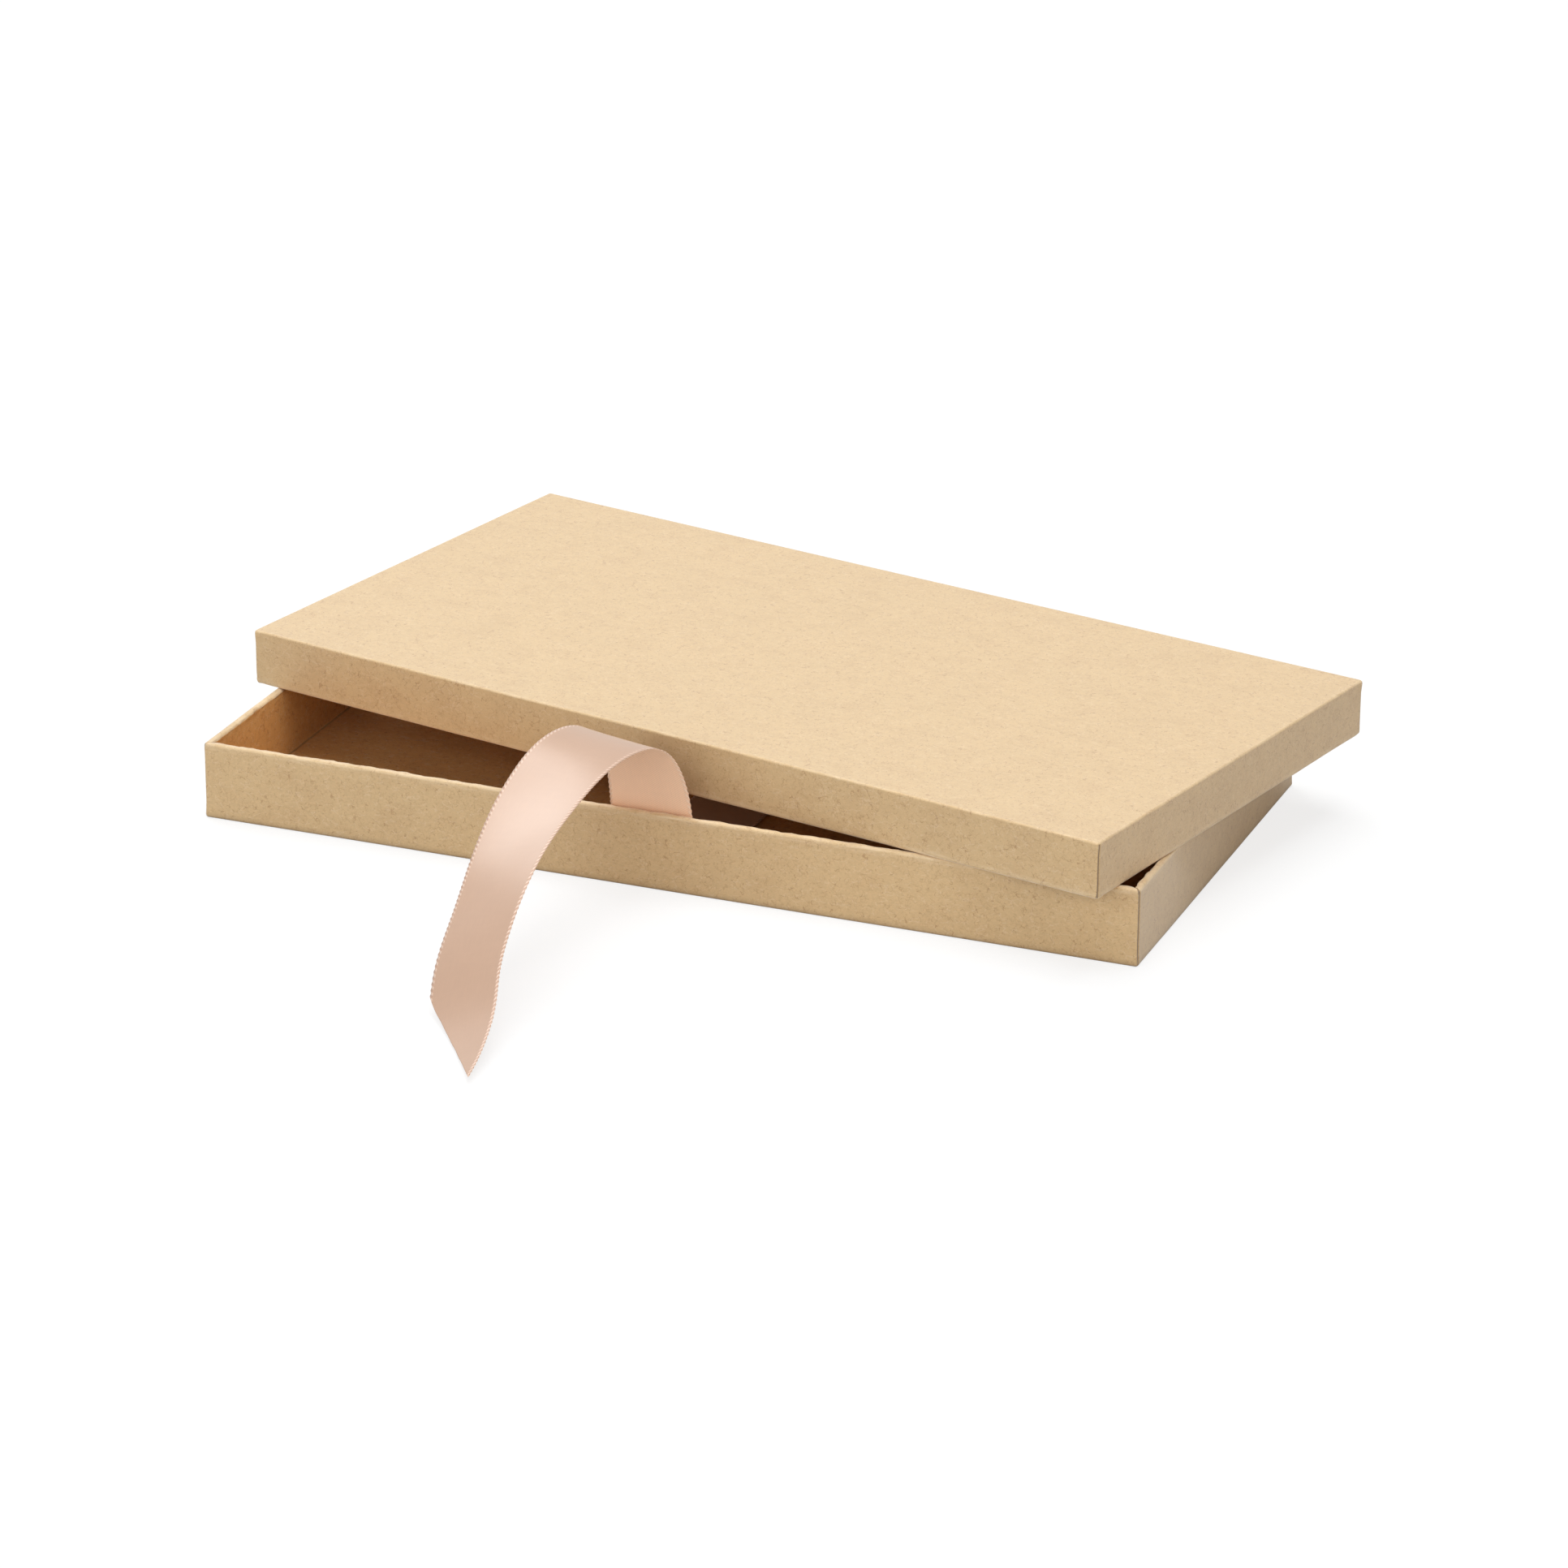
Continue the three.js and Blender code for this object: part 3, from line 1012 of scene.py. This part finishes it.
@dataclass
class Ribbon:
    """One length of ribbon from the tray's floor over its front wall to the table.

    The sizes down to lean_from are those of the solid model, apart from thickness. Numbers
    that end in _from and _full are shares of the whole length.
    """

    tray_width: float
    tray_height: float
    width: float = 20 * MM
    thickness: float = 0.16 * MM
    solid_thickness: float = 0.5 * MM
    wall: float = 1.8 * MM
    panel: float = 1.2 * MM
    side: float = -2.3 * MM
    crest_rise: float = 20.75 * MM
    reach: float = 110 * MM
    sway: float = 11 * MM
    tip: float = 1.8 * MM
    tail_gap: float = 11 * MM
    cut: float = 32 * MM
    seat_gap: float = 0.3 * MM
    lean_from: float = 0.7
    tooth_pitch: float = 1.25 * MM
    tooth_depth: float = 0.2 * MM
    fray_from: float = 0.97
    fray: float = 0.35 * MM
    fray_noise: tuple = (7, 3.3, 0.2)
    ripple: float = 0.2 * MM
    ripple_size: tuple = (16 * MM, 13 * MM)
    ripple_from: float = 0.46
    ripple_full: float = 0.52
    ripple_noise: float = 5.1
    row_step: float = 0.3125 * MM
    columns: int = 24
    fine_steps: int = 48
    even_steps: int = 1200
    name: str = "ribbon_satin"

    def guides(self) -> list[Guide]:
        """The guides of the middle line, as in the solid model.

        Returns:
            The guides from the hidden end to the tip.
        """
        floor = self.panel + self.seat_gap + self.solid_thickness / 2
        wall = -self.tray_width / 2 + self.wall + self.seat_gap + self.solid_thickness / 2
        end = self.tray_width / 2 - self.wall - self.tail_gap
        crest = self.tray_height + self.crest_rise

        def ahead(share: float) -> float:
            """A place in front of the tray."""
            return -self.tray_width / 2 - share * self.reach

        return [
            Guide(0, end, floor),
            Guide(0, 0, floor),
            Guide(0, wall + 0.1 * self.tray_width, floor),
            Guide(0, wall, floor),
            Guide(0, wall, self.tray_height / 2),
            Guide(0, wall, self.tray_height),
            Guide(0.21, wall, self.tray_height + 0.6 * self.crest_rise, -11, 1.4),
            Guide(0.48, ahead(0.035), 0.97 * crest, -11, -4),
            Guide(0.82, ahead(0.179), 0.976 * crest, -11, -8),
            Guide(1, ahead(0.33), 0.86 * crest, -10, 1),
            Guide(0.95, ahead(0.472), 0.784 * crest, -10, 16),
            Guide(0.89, ahead(0.596), 0.635 * crest, -8.6, 26),
            Guide(0.88, ahead(0.701), 0.396 * crest, -8.2, 27),
            Guide(0.565, ahead(0.785), 0.215 * crest, -9, 28.6),
            Guide(0.38, ahead(0.889), 0.105 * crest, -5.7, 28.3),
            Guide(0.28, ahead(1), self.tip, -0.8, 27.3),
        ]

    def blend(self, values: np.ndarray, at: float) -> np.ndarray:
        """A point of the even cubic spline through the guides.

        Args:
            values: one row of numbers for each guide.
            at: the place along the spline, in spans.

        Returns:
            The blended row.
        """
        padded = np.vstack([values[:1], values[:1], values, values[-1:], values[-1:]])
        span = min(int(at), len(padded) - 4)
        t = at - span
        shares = np.array(
            [(1 - t) ** 3, 3 * t**3 - 6 * t**2 + 4, -3 * t**3 + 3 * t**2 + 3 * t + 1, t**3]
        )
        return shares @ padded[span : span + 4] / 6

    def frames(self, steps: int) -> tuple[np.ndarray, np.ndarray, np.ndarray, float]:
        """Even steps along the middle line, with directions across and out of the ribbon.

        Args:
            steps: how many steps there are.

        Returns:
            The middles, the crosswise and the outward directions, and the whole length.
        """
        guides = self.guides()
        middles = []
        for g in guides:
            rise = math.sin(math.radians(g.bank)) * self.width / 2
            middles.append((self.side - g.sway * self.sway, g.run, g.right - rise))
        angles = np.radians([(g.turn, g.bank) for g in guides])
        fine = np.arange((len(guides) + 1) * self.fine_steps + 1) / self.fine_steps
        line = np.array([self.blend(np.array(middles), at) for at in fine])
        turns = np.array([self.blend(angles, at) for at in fine])
        run = np.concatenate([[0], np.cumsum(np.linalg.norm(np.diff(line, axis=0), axis=1))])
        even = np.linspace(0, run[-1], steps + 1)
        middle = np.stack([np.interp(even, run, line[:, i]) for i in range(3)], axis=1)
        turn = np.interp(even, run, turns[:, 0])
        bank = np.interp(even, run, turns[:, 1])
        along = np.gradient(middle, axis=0)
        along /= np.linalg.norm(along, axis=1)[:, None]
        across = np.stack(
            [np.cos(bank) * np.cos(turn), np.cos(bank) * np.sin(turn), np.sin(bank)], axis=1
        )
        across -= along * np.sum(across * along, axis=1)[:, None]
        across /= np.linalg.norm(across, axis=1)[:, None]
        return middle, across, np.cross(across, along), float(run[-1])

    def offset(self, side: float, distance: float, total: float) -> tuple[float, float]:
        """Where a point lies in the ribbon's cross section, with its teeth and ripples.

        Args:
            side: the share of the width, from 0 at the left selvedge to 1 at the right.
            distance: how far along the ribbon it is.
            total: the ribbon's whole length.

        Returns:
            How far it is right of the middle line, and how far out of the ribbon.
        """
        off = (side - 0.5) * self.width
        if side in (0, 1):
            wave = 0.5 + 0.5 * math.cos(math.tau * distance / self.tooth_pitch)
            off -= math.copysign(self.tooth_depth * wave, off)
        free = (distance / total - self.ripple_from) / (self.ripple_full - self.ripple_from)
        wide, long = self.ripple_size
        swell = noise.noise(Vector((off / wide, distance / long, self.ripple_noise)))
        return off, self.ripple * min(max(free, 0), 1) * swell

    def build(self) -> tuple[bpy.types.Object, float]:
        """Build the ribbon's mesh.

        Returns:
            The new object, and the ribbon's whole length.
        """
        middle, across, out, total = self.frames(self.even_steps)
        rows = int(total / self.row_step)
        step = total / self.even_steps
        # just short of the last step, so that one more follows
        last = self.even_steps - 0.001
        waves, *fixed = self.fray_noise
        verts: list = []
        strip: list = []
        for row in range(rows + 1):
            share = row / rows
            lean = self.cut * max(0.0, (share - self.lean_from) / (1 - self.lean_from))
            frayed = self.fray * max(0.0, (share - self.fray_from) / (1 - self.fray_from))
            for face in (0.5, -0.5):
                for side in np.linspace(0, 1, self.columns + 1):
                    distance = total * share - lean * (1 - side)
                    distance += frayed * noise.noise(Vector((side * waves, *fixed)))
                    place = min(max(distance / step, 0.0), last)
                    i = int(place)
                    off, rise = self.offset(side, distance, total)
                    rise += face * self.thickness
                    spots = [middle[k] + across[k] * off + out[k] * rise for k in (i, i + 1)]
                    verts.append(tuple(spots[0] * (i + 1 - place) + spots[1] * (place - i)))
                    strip.append((off, distance, float(face > 0)))
        half = self.columns + 1
        loop = 2 * half
        order = list(range(half)) + list(range(loop - 1, half - 1, -1))
        faces: list = []
        smooth: list = []
        for row in range(rows):
            for i in range(loop):
                a = row * loop + order[i]
                b = row * loop + order[(i + 1) % loop]
                faces.append((a, b, b + loop, a + loop))
                smooth.append((i + 1) % half > 0)
        for a in range(self.columns):
            b = a + 1
            end = rows * loop
            faces.append((a, a + half, b + half, b))
            faces.append((a + end, b + end, b + end + half, a + end + half))
            smooth += [False, False]
        built, mesh = new_piece(self.name, verts, faces)
        mesh.polygons.foreach_set("use_smooth", smooth)
        layer = mesh.attributes.new("strip_place", "FLOAT_VECTOR", "POINT")
        layer.data.foreach_set("vector", np.array(strip, dtype=np.float32).ravel())
        return built, total

    def dress(self, built: bpy.types.Object, total: float, satin: bpy.types.Material) -> None:
        """Give the ribbon its satin, and hide the ribbon of the solid model.

        Args:
            built: the ribbon.
            total: its whole length.
            satin: its material.
        """
        built.data.materials.append(satin)
        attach(built, "root")
        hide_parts("ribbon")
        self.width * (total - self.cut / 2)


@dataclass(frozen=True)
class Lamp:
    """One soft box, facing the object.

    Level is how bright it alone makes a white sheet at the object that faces it.
    """

    name: str
    place: tuple
    size: tuple
    level: float
    colour: tuple = (1, 1, 1)


@dataclass
class Studio:
    """The floor, the lamps, the sky and the camera.

    The camera stands at eye and looks at aim, and the lamps face middle. sky is how bright
    the sky makes the object, though it is seen as plain white.
    """

    eye: tuple = (474.235 * MM, -1187.424 * MM, 521.648 * MM)
    aim: tuple = (6.045 * MM, 3.977 * MM, 3.685 * MM)
    roll: float = math.radians(0.3750)
    lens: float = 137.1256
    sensor: float = 36.0
    nearest: float = 0.05
    farthest: float = 60
    half_floor: float = 12.0
    floor_drop: float = 0.02 * MM
    sky: float = 0.20
    middle: tuple = (0.0, 0.0, 20 * MM)
    lamps: tuple = (
        Lamp("over", (0.0, 0.1, 1.9), (1.4, 1.4), 0.78, (0.96, 1.0, 1.035)),
        Lamp("front", (-0.12, -1.50, 0.62), (2.0, 1.0), 0.48, (1.0, 0.98, 0.96)),
        Lamp("left", (-1.02, 0.66, 1.20), (0.95, 0.84), 0.31),
        Lamp("side", (1.30, -0.65, 0.75), (0.8, 0.8), 0.18, (1.0, 0.87, 0.74)),
    )

    def camera(self) -> None:
        """Stand the camera where the picture was taken from."""
        forward = (Vector(self.aim) - Vector(self.eye)).normalized()
        level = forward.cross(Vector((0, 0, 1))).normalized()
        upright = level.cross(forward)
        right = level * math.cos(self.roll) + upright * math.sin(self.roll)
        up = upright * math.cos(self.roll) - level * math.sin(self.roll)
        data = bpy.data.cameras.new("camera")
        data.sensor_width = self.sensor
        data.sensor_fit = "HORIZONTAL"
        data.lens = self.lens
        data.clip_start = self.nearest
        data.clip_end = self.farthest
        camera = bpy.data.objects.new("camera", data)
        turn = Matrix((right, up, -forward)).transposed().to_4x4()
        camera.matrix_world = Matrix.Translation(self.eye) @ turn
        bpy.context.collection.objects.link(camera)
        bpy.context.scene.camera = camera

    def floor(self) -> None:
        """Lay a wide plain floor under the box."""
        half = self.half_floor
        corners = [(-half, -half, 0), (half, -half, 0), (half, half, 0), (-half, half, 0)]
        floor, mesh = new_piece("floor", corners, [(0, 1, 2, 3)])
        mesh.materials.append(PaleFloor().material("white_table"))
        floor.location.z = -self.floor_drop

    def world(self) -> None:
        """Make the sky: a soft white light that is seen as plain white."""
        world = bpy.data.worlds.new("white_room")
        world.use_nodes = True
        graph = Graph(world.node_tree)
        seen = graph.add("ShaderNodeLightPath", output="Is Camera Ray")
        shown = seen.most(seen.beside("Is Glossy Ray")).most(seen.beside("Is Transmission Ray"))
        strength = self.sky + shown * (1 - self.sky)
        light = graph.add("ShaderNodeBackground", {}, {"Color": WHITE, "Strength": strength})
        graph.add("ShaderNodeOutputWorld", {}, {"Surface": light})
        bpy.context.scene.world = world

    def hang(self, lamp: Lamp) -> None:
        """Hang one soft box, facing the object.

        Args:
            lamp: the soft box.
        """
        data = bpy.data.lights.new(lamp.name, "AREA")
        data.shape = "RECTANGLE"
        data.size, data.size_y = lamp.size
        data.color = lamp.colour
        away = Vector(lamp.place) - Vector(self.middle)
        data.energy = lamp.level * math.pi**2 * away.length_squared
        hung = bpy.data.objects.new(lamp.name, data)
        facing = away.to_track_quat("Z", "Y").to_matrix().to_4x4()
        hung.matrix_world = Matrix.Translation(lamp.place) @ facing
        bpy.context.collection.objects.link(hung)

    def light(self) -> None:
        """Make the sky and hang the lamps."""
        self.world()
        for lamp in self.lamps:
            self.hang(lamp)


def main() -> None:
    """Build the box piece by piece, then the floor, the light and the camera."""
    logging.basicConfig(level=logging.INFO, format="%(message)s")
    studio = Studio()
    studio.camera()
    low, high = (Vector(corner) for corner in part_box("tray"))
    size = high - low
    tray = FoldedBox("tray_board", size.x, size.y, size.z, Vector((0, 0, 0)))
    lid_low, lid_high = (Vector(corner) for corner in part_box("lid"))
    middle = (lid_low + lid_high) / 2
    grown = 2 * (tray.wall + LID_FIT)
    lid = FoldedBox(
        "lid_board",
        tray.length + grown,
        tray.width + grown,
        lid_high.z - lid_low.z,
        Vector((middle.x, middle.y, lid_low.z)),
        turn=LID_TURN,
        rim=Rim.DOWN,
        seed=2,
    )
    # a more saturated copy of the board for the faces inside the boxes: painted shade standing in
    # for light bounced about inside
    shaded_inside = KraftBoard(
        base=(0.675, 0.378, 0.146, 1),
        shade=(0.58, 0.315, 0.11, 1),
        roughness=0.8,
        gloss=0.2,
        sheen=0.0,
    )
    boards = (KraftBoard().material("kraft_board"), shaded_inside.material("kraft_board_shaded_inside"))
    for box, node in ((tray, "tray"), (lid, "lid")):
        built = box.build()
        box.dress(built, boards, node)
        LOG.info("%s: %d faces", built.name, len(built.data.polygons))
    ribbon = Ribbon(tray.width, tray.height)
    built, total = ribbon.build()
    ribbon.dress(built, total, SatinRibbon().material("satin_ribbon"))
    LOG.info("%s: %d faces, %.1f mm long", built.name, len(built.data.polygons), total / MM)
    studio.floor()
    studio.light()
    bpy.context.scene.view_settings.view_transform = "Standard"


if __name__ == "__main__":
    main()
